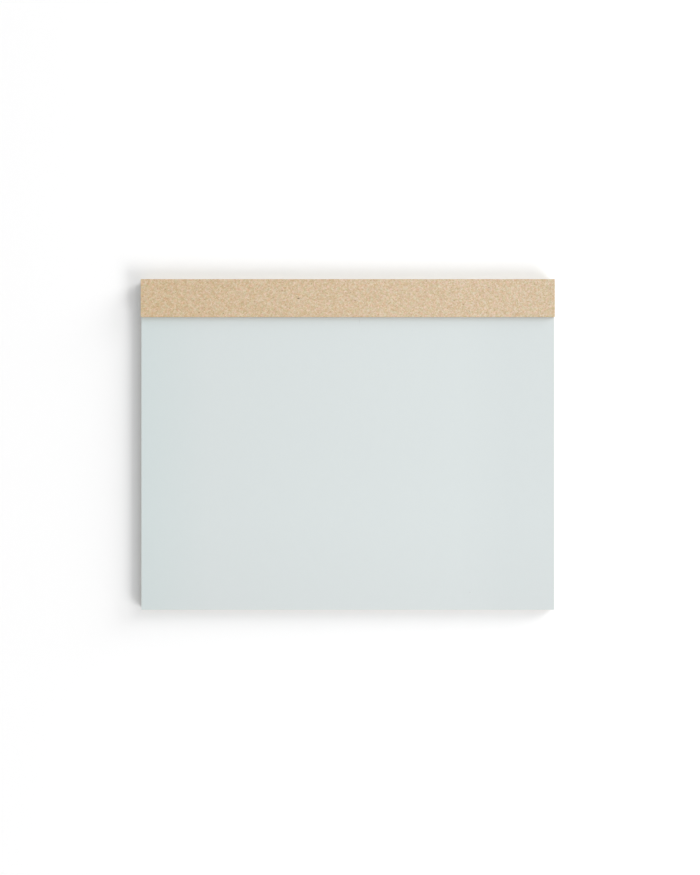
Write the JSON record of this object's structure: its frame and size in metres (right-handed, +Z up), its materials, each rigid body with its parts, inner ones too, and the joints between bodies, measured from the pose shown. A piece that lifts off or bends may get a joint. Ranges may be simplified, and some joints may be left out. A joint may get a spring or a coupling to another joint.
{
  "type": "drawing pad",
  "caption": "Landscape tear-off drawing pad: pale grey-green sheets glued at the head, a stiff back board, and a raised sand-coloured fibre-board strip along the head.",
  "frame": {"origin": "centre of the underside, on the surface the pad lies on", "axes": "+X along the long edge, +Y towards the glued head, +Z up, out of the top sheet"},
  "size_m": [0.2974, 0.2376, 0.0116],
  "materials": {
    "back_board": "matte",
    "drawing_paper": "matte",
    "strip_board": "matte",
    "padding_glue": "satin",
    "strip_adhesive": "satin"
  },
  "bodies": {
    "root": {"back_board": "back_board", "page_block": "drawing_paper", "binding_strip": "strip_board", "head_glue": "padding_glue", "strip_adhesive": "strip_adhesive"}
  },
  "joints": []
}
